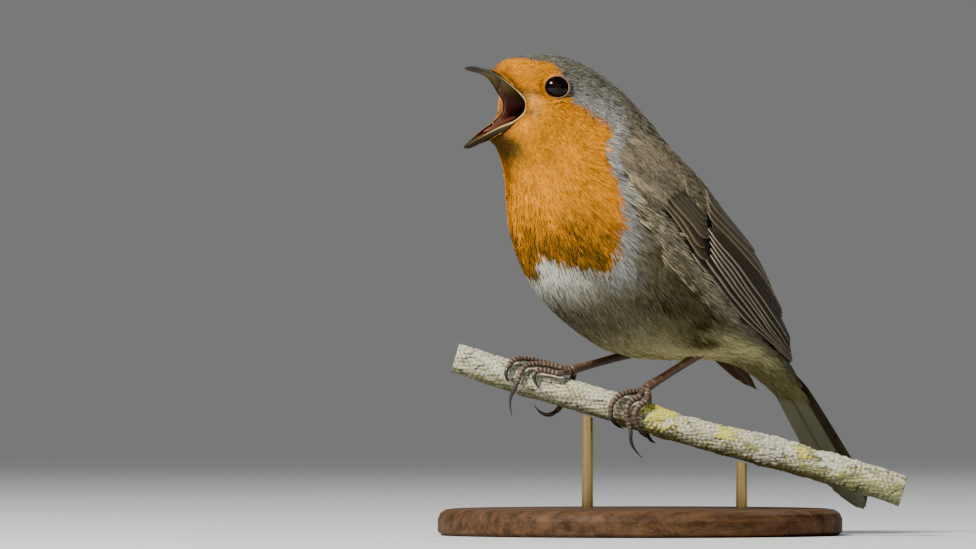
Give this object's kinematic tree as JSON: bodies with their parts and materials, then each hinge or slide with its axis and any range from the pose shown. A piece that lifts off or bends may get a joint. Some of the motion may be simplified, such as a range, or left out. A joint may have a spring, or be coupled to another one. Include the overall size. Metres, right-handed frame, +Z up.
{
  "type": "european robin model",
  "caption": "Life-size still model of a European robin singing with its bill wide open, gripping a short cut branch on a round display stand.",
  "frame": {"origin": "centre of the underside of the stand's round base", "axes": "+Z up; the bill points along -X, so the bird's left side faces -Y and its middle plane is the XZ plane"},
  "size_m": [0.1059, 0.092, 0.109],
  "materials": {
    "plumage": "soft matt feathers",
    "wing_feathers": "matt feathers",
    "horn": "satin horn",
    "mouth_lining": "moist",
    "eye": "glossy",
    "leg_skin": "satin scales",
    "bark": "rough bark with lichen",
    "stand_wood": "satin lacquer",
    "brass": "satin"
  },
  "bodies": {
    "root": {"head": "plumage", "neck": "plumage", "trunk": "plumage", "tail": "plumage", "thigh_left": "plumage", "thigh_right": "plumage", "upper_bill": "horn", "lower_bill": "horn", "tongue": "mouth_lining", "eye_left": "eye", "wing_left_coverts": "wing_feathers", "wing_left_secondaries": "wing_feathers", "wing_left_primaries": "wing_feathers", "shank_left": "leg_skin", "toe_left_1": "leg_skin", "claw_left_1": "horn", "toe_left_2": "leg_skin", "claw_left_2": "horn", "toe_left_3": "leg_skin", "claw_left_3": "horn", "toe_left_4": "leg_skin", "claw_left_4": "horn", "eye_right": "eye", "wing_right_coverts": "wing_feathers", "wing_right_secondaries": "wing_feathers", "wing_right_primaries": "wing_feathers", "shank_right": "leg_skin", "toe_right_1": "leg_skin", "claw_right_1": "horn", "toe_right_2": "leg_skin", "claw_right_2": "horn", "toe_right_3": "leg_skin", "claw_right_3": "horn", "toe_right_4": "leg_skin", "claw_right_4": "horn", "perch": "bark", "stand_base": "stand_wood", "stand_rod_front": "brass", "stand_rod_back": "brass"}
  },
  "joints": []
}
